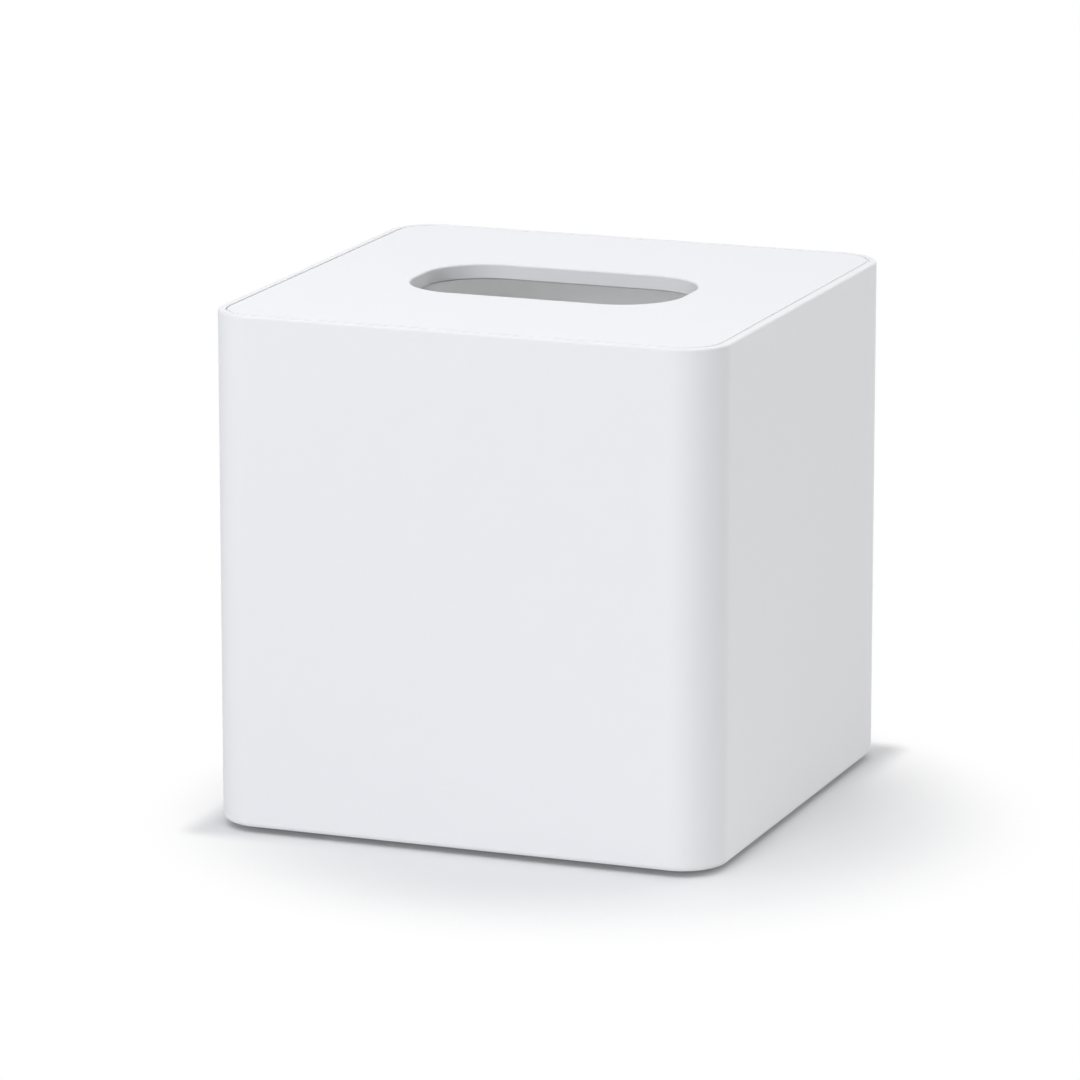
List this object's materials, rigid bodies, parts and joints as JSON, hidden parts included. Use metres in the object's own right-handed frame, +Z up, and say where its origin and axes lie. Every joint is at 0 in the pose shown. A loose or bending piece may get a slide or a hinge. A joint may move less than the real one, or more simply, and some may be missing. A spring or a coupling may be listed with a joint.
{
  "type": "tissue box",
  "caption": "Square moulded tissue box with rounded corners, a flush lift-off lid with an oblong slot, and non-slip pads underneath.",
  "frame": {"origin": "middle of the footprint, on the ground under the pads", "axes": "+Z up through the middle of the lid, +X to the right along the slot, front wall towards -Y"},
  "size_m": [0.135, 0.135, 0.133],
  "materials": {
    "shell": "matte, very fine moulded texture",
    "lid": "matte, very fine moulded texture",
    "pad": "soft matte"
  },
  "bodies": {
    "tub": {"body": "shell", "pad_front_left": "pad", "pad_front_right": "pad", "pad_back_left": "pad", "pad_back_right": "pad"},
    "lid": {"lid": "lid"}
  },
  "joints": [
    {"name": "lid_lift", "type": "slide", "parent": "tub", "child": "lid", "axis": [0, 0, 1], "range_m": [0, 0.15]}
  ]
}
